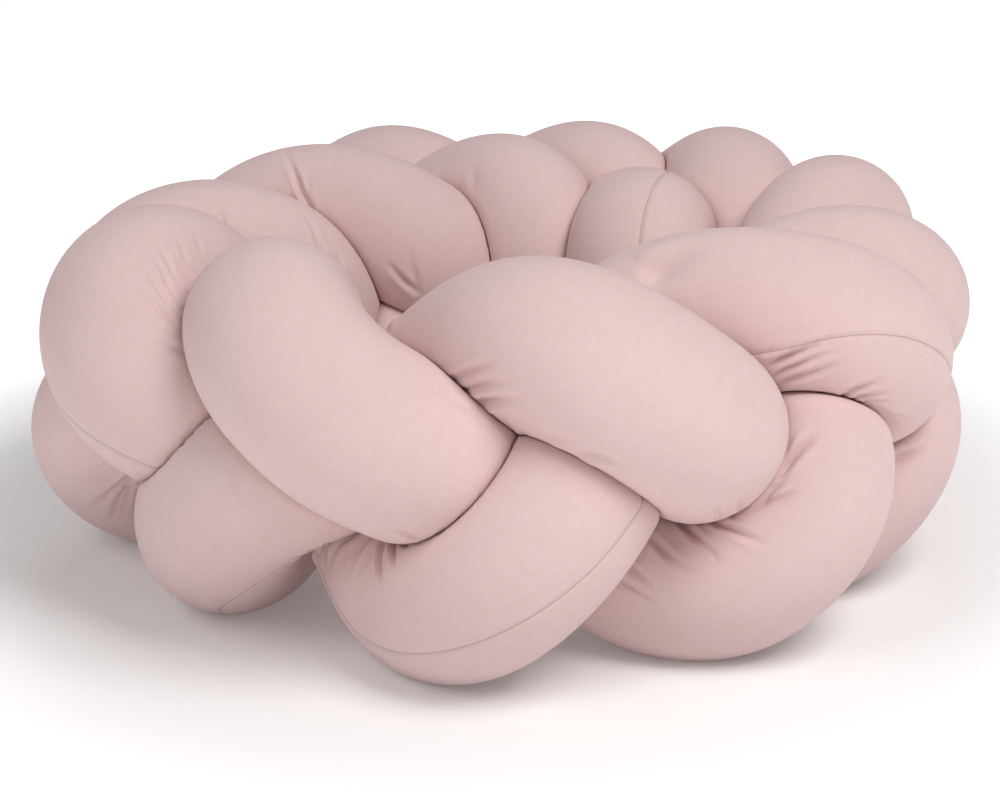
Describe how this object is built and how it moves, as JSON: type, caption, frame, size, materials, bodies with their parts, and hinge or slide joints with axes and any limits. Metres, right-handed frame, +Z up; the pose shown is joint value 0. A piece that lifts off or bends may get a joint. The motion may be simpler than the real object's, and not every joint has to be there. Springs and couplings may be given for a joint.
{
  "type": "braided crib bumper",
  "caption": "Soft crib bumper of stuffed cotton tubes plaited together and laid round in a ring, its two ends passing each other at the back.",
  "frame": {"origin": "on the floor, under the middle of the ring's outline", "axes": "+Z up, -Y towards the side that the picture shows, +X to its right"},
  "size_m": [0.558, 0.5822, 0.2255],
  "materials": {
    "cotton": "matte dusty pink plain-weave cotton"
  },
  "bodies": {
    "root": {"strand_a": "cotton", "strand_b": "cotton", "strand_c": "cotton"}
  },
  "joints": []
}
